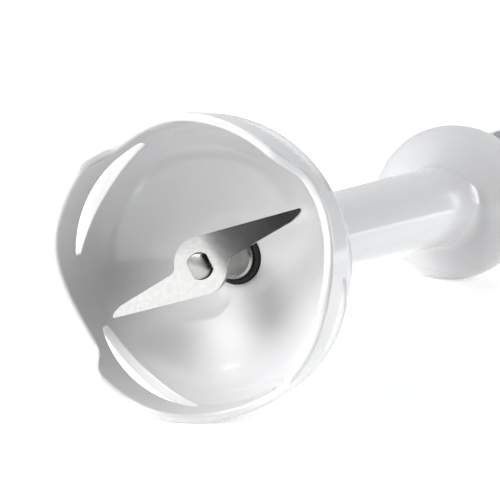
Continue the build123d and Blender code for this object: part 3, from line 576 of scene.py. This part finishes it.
# --- blade -----------------------------------------------------------------------------------------------
# Two wings stamped from one strip of stainless steel, ground thin from behind along their leading edges
# and bent a little back. A double-D hole keys the hub to the flats of the shaft, whose end stands proud.
def blade_steel(tone):
    where = tone.node("ShaderNodeTexCoord", out=3)
    mottle = tone.node("ShaderNodeTexNoise", values={"Vector": where, "Scale": 900.0, "Detail": 6.0,
                                                    "Roughness": 0.7})
    broad = tone.node("ShaderNodeTexNoise", values={"Vector": where, "Scale": 160.0, "Detail": 2.0})
    pits = tone.node("ShaderNodeBump", values={"Height": mottle, "Strength": 0.05, "Distance": 0.00005})
    return tone.node("ShaderNodeBsdfPrincipled", values={
        "Base Color": mottle.clamped(0.3, 0.75).blend(rgb(0.46, 0.46, 0.45), rgb(0.52, 0.52, 0.51)),
        "Metallic": 1.0, "Roughness": broad * 0.06 + 0.15, "Normal": pits})


BLADE_STEEL = material("blade_steel", blade_steel)
BLADE_X = 9.0
BLADE_THICKNESS = 1.2
HUB_R = 6.0
SPAN = 24.2
TRAIL = 1.55
TRAIL_FILLET = 2.0
LEAD_SLOPE = 0.2587
BLADE_ANGLE = 149.0
BENDS = (radians(7.2), radians(0.6))
BEND_START = 3.0
BEND_RUN = 3.2
GRIND_WIDTH = 1.3
GRIND_DROP = 1.0
SHAFT_R = 2.65
SHAFT_FLAT = 2.0
KEY_PLAY = 0.2


def double_d(radius, flat, steps=14):
    """Outline of a rod with two flats that face along the wings, as (along the wing, across it)."""
    corner = degrees(asin(flat / radius))
    sweep_ = np.linspace(-corner, corner, steps)
    half = [(radius * sin(radians(a)), radius * cos(radians(a))) for a in sweep_]
    return half + [(-a, -b) for a, b in half]


def blade_outline():
    """Both wings and the hub as one outline, as (along the wings, across them)."""
    lead_angle = degrees(atan2(-1.0, LEAD_SLOPE))
    lead_start = (HUB_R * cos(radians(lead_angle)), HUB_R * sin(radians(lead_angle)))
    rise = LEAD_SLOPE * (SPAN - 0.25 - lead_start[0]) + lead_start[1]
    wing = [lead_start, (SPAN - 0.25, rise), (SPAN - 0.06, rise + 0.1), (SPAN, rise + 0.3)]
    for share in (0.15, 0.3, 0.45, 0.6, 0.8, 1.0):
        wing.append((SPAN - 3.0 * share ** 1.6, rise + 0.3 + (TRAIL - rise - 0.3) * share ** 0.75))
    fillet_x = sqrt((HUB_R + TRAIL_FILLET) ** 2 - (TRAIL + TRAIL_FILLET) ** 2)
    hub_angle = degrees(atan2(TRAIL + TRAIL_FILLET, fillet_x))
    for a in np.linspace(270.0, 180.0 + hub_angle, 7):
        turn = radians(a)
        wing.append((fillet_x + TRAIL_FILLET * cos(turn), TRAIL + TRAIL_FILLET * (1.0 + sin(turn))))
    for a in np.linspace(hub_angle, 180.0 + lead_angle, 14)[1:-1]:
        wing.append((HUB_R * cos(radians(a)), HUB_R * sin(radians(a))))
    return wing + [(-run, -across_) for run, across_ in wing]


def blade_mesh():
    """Plate filled between the outline and the keyed hole, cut into rows to be bent and ground."""
    flat = bmesh.new()
    edges = []
    for outline in (blade_outline(), double_d(SHAFT_R + KEY_PLAY, SHAFT_FLAT + KEY_PLAY)):
        points = [flat.verts.new((run, across_, 0.0)) for run, across_ in outline]
        edges += [flat.edges.new((a, b)) for a, b in zip(points, points[1:] + points[:1])]
    bmesh.ops.triangle_fill(flat, edges=edges, use_beauty=True)
    lead = Vector((LEAD_SLOPE, -1.0, 0.0)).normalized()
    cuts = []
    for side in (1.0, -1.0):
        cuts += [((side * run, 0.0, 0.0), (1.0, 0.0, 0.0)) for run in np.linspace(2.4, SPAN - 3.6, 26)]
        cuts += [(side * (HUB_R - depth) * lead, lead) for depth in (GRIND_WIDTH, GRIND_WIDTH + 0.3)]
    for place, normal in cuts:
        whole = list(flat.verts) + list(flat.edges) + list(flat.faces)
        bmesh.ops.bisect_plane(flat, geom=whole, plane_co=place, plane_no=normal, dist=1e-4)
    bmesh.ops.remove_doubles(flat, verts=flat.verts, dist=0.14)
    bmesh.ops.triangulate(flat, faces=flat.faces)
    flat.verts.index_update()
    turn = Matrix.Rotation(radians(BLADE_ANGLE), 3, "X")
    layers = []
    for layer in (0, 1):
        for vertex in flat.verts:
            run, across_ = vertex.co.x, vertex.co.y
            side = 1.0 if run > 0.0 else -1.0
            past = max(abs(run) - BEND_START, 0.0)
            back = BENDS[0 if run > 0.0 else 1] * (past - BEND_RUN * (1.0 - exp(-past / BEND_RUN)))
            inset = HUB_R - side * vertex.co.dot(lead)
            ground = max(0.0, 1.0 - inset / GRIND_WIDTH) * smooth((abs(run) - 2.0) / 4.0)
            back += 0.0 if layer == 0 else BLADE_THICKNESS - GRIND_DROP * ground
            place = turn @ Vector((BLADE_X + back, run, across_))
            layers.append(Vector((RIM_X, 0.0, AXIS_Z)) + place * MM)
    count = len(flat.verts)
    faces = [[v.index for v in face.verts] for face in flat.faces]
    faces += [[i + count for i in reversed(face)] for face in faces]
    for edge in flat.edges:
        if len(edge.link_faces) == 1:
            a, b = edge.verts[0].index, edge.verts[1].index
            faces.append([a, b, b + count, a + count])
    flat.free()
    plate = bpy.data.meshes.new("blade_plate")
    plate.from_pydata(layers, [], faces)
    tidy = bmesh.new()
    tidy.from_mesh(plate)
    bmesh.ops.recalc_face_normals(tidy, faces=tidy.faces)
    tidy.to_mesh(plate)
    tidy.free()
    return plate


blade = piece("winged_blade", blade_mesh(), "blade_spindle", "blade_steel", BLADE_STEEL, "blade")
blade.data.set_sharp_from_angle(angle=radians(25.0))


shaft_low, shaft_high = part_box("drive_shaft")
SHAFT_FRONT = (shaft_low.x - RIM_X) / MM
SHAFT_REAR = (shaft_high.x - RIM_X) / MM
KEY_END = BLADE_X + BLADE_THICKNESS + 0.3


def shaft_mesh():
    """Round rod, its front end cut to the double D and chamfered."""
    steps = 14
    shape = bmesh.new()
    turn = Matrix.Rotation(radians(BLADE_ANGLE), 3, "X")
    stations = [(SHAFT_FRONT, -0.35), (SHAFT_FRONT + 0.08, -0.16), (SHAFT_FRONT + 0.3, 0.0), (KEY_END, 0.0)]
    rings = []
    for x, gain in stations:
        outline = double_d(SHAFT_R + gain, SHAFT_FLAT + gain, steps)
        rings.append([turn @ Vector((x, a, b)) for a, b in outline])
    angles = [atan2(b, a) for a, b in double_d(SHAFT_R, SHAFT_FLAT, steps)]
    for x, radius in ((KEY_END, SHAFT_R), (BUSH_END - 1.0, SHAFT_R), (SHAFT_REAR - 0.3, SHAFT_R),
                      (SHAFT_REAR, SHAFT_R - 0.3)):
        rings.append([turn @ Vector((x, radius * cos(a), radius * sin(a))) for a in angles])
    made = [[shape.verts.new(Vector((RIM_X, 0.0, AXIS_Z)) + point * MM) for point in ring] for ring in rings]
    for here, there in zip(made, made[1:]):
        for j in range(len(here)):
            k = (j + 1) % len(here)
            shape.faces.new((here[j], here[k], there[k], there[j]))
    shape.faces.new(made[0])
    shape.faces.new(made[-1])
    bmesh.ops.recalc_face_normals(shape, faces=shape.faces)
    mesh = bpy.data.meshes.new("shaft_rod")
    shape.to_mesh(mesh)
    shape.free()
    return mesh


shaft = piece("shaft_rod", shaft_mesh(), "blade_spindle", "steel", TURNED, "drive_shaft")
shaft.data.set_sharp_from_angle(angle=radians(25.0))


# --- grip, cap, buttons and what they hold ---------------------------------------------------------------
# The grip's two halves and its cap are the guard's white plastic. Its keys are soft-touch grey, and the
# motor, its brackets, couplings, switches and screws inside have plain stock finishes.
def moulded(dark, light, shine, grain):
    """Plastic from a mould: faint flow in its colour, a fine textured skin."""
    def build(tone):
        where = tone.node("ShaderNodeTexCoord", out=3)
        flow = tone.node("ShaderNodeTexNoise", values={"Vector": where, "Scale": 60.0, "Detail": 2.0})
        skin = tone.node("ShaderNodeTexNoise", values={"Vector": where, "Scale": 2400.0, "Detail": 2.0})
        relief = tone.node("ShaderNodeBump", values={"Height": skin, "Strength": grain, "Distance": 0.00008})
        return tone.node("ShaderNodeBsdfPrincipled", values={
            "Base Color": flow.blend(dark, light), "Roughness": flow * 0.08 + shine, "Normal": relief})
    return build


def metal(dark, light, shine, grain):
    """Bare metal: mottled colour, uneven polish, and fine marks from rolling, drawing or turning."""
    def build(tone):
        where = tone.node("ShaderNodeTexCoord", out=3)
        patches = tone.node("ShaderNodeTexNoise", values={"Vector": where, "Scale": 320.0, "Detail": 4.0})
        marks = tone.node("ShaderNodeTexNoise", values={"Vector": where, "Scale": 3000.0, "Detail": 2.0})
        relief = tone.node("ShaderNodeBump", values={"Height": marks, "Strength": grain, "Distance": 0.00005})
        return tone.node("ShaderNodeBsdfPrincipled", values={
            "Base Color": patches.blend(dark, light), "Metallic": 1.0, "Roughness": patches * 0.15 + shine,
            "Normal": relief})
    return build


def laminated(tone):
    """Core of thin steel sheets: fine dark lines across the axis."""
    where = tone.node("ShaderNodeTexCoord", out=3)
    sheets = tone.node("ShaderNodeTexWave", {"bands_direction": "X"}, {"Vector": where, "Scale": 320.0})
    relief = tone.node("ShaderNodeBump", values={"Height": sheets, "Strength": 0.4, "Distance": 0.0001})
    return tone.node("ShaderNodeBsdfPrincipled", values={
        "Base Color": sheets.blend(rgb(0.13), rgb(0.36, 0.36, 0.38)), "Metallic": 1.0, "Roughness": 0.45,
        "Normal": relief})


def wound_copper(tone):
    """Coil of enamelled wire: turns lie side by side across the axis, the colour darkened between them as
    painted shade in the grooves.
    """
    where = tone.node("ShaderNodeTexCoord", out=3)
    turns = tone.node("ShaderNodeTexWave", {"bands_direction": "DIAGONAL"},
                      {"Vector": where, "Scale": 420.0, "Distortion": 1.5})
    relief = tone.node("ShaderNodeBump", values={"Height": turns, "Strength": 0.6, "Distance": 0.0002})
    # The colour runs dark between the turns: painted shade in the grooves between the wires.
    return tone.node("ShaderNodeBsdfPrincipled", values={
        "Base Color": turns.blend(rgb(0.20, 0.06, 0.02), rgb(0.72, 0.30, 0.12)), "Metallic": 0.8,
        "Roughness": turns * 0.2 + 0.25, "Normal": relief})


FINISHES = {
    "white_gloss": WHITE,
    "blade_steel": BLADE_STEEL,
    "steel": TURNED,
    "black_rubber": RUBBER,
    "soft_grey": material("soft_grey", moulded(rgb(0.33, 0.34, 0.36), rgb(0.37, 0.38, 0.40), 0.48, 0.25)),
    "inner_plastic": material("inner_plastic", moulded(rgb(0.58, 0.59, 0.58), rgb(0.64, 0.65, 0.64),
                                                       0.40, 0.20)),
    "dark_plastic": material("dark_plastic", moulded(rgb(0.020, 0.020, 0.022), rgb(0.030, 0.030, 0.033),
                                                     0.38, 0.25)),
    "carbon": material("carbon", moulded(rgb(0.012), rgb(0.030), 0.55, 0.40)),
    "board": material("board", moulded(rgb(0.05, 0.19, 0.08), rgb(0.07, 0.24, 0.10), 0.35, 0.15)),
    "film_yellow": material("film_yellow", moulded(rgb(0.66, 0.43, 0.04), rgb(0.74, 0.50, 0.06), 0.25, 0.08)),
    "zinc": material("zinc", metal(rgb(0.50, 0.51, 0.53), rgb(0.66, 0.67, 0.68), 0.25, 0.15)),
    "bronze": material("bronze", metal(rgb(0.42, 0.27, 0.12), rgb(0.58, 0.38, 0.19), 0.35, 0.35)),
    "brass": material("brass", metal(rgb(0.62, 0.44, 0.16), rgb(0.75, 0.56, 0.24), 0.20, 0.12)),
    "lamination": material("lamination", laminated),
    "copper": material("copper", wound_copper),
}
for made_of in frame["record"]["subparts"]:
    for place in frame["nodes"][made_of["node"]].material_slots:
        place.material = FINISHES[made_of["material_slot"]]
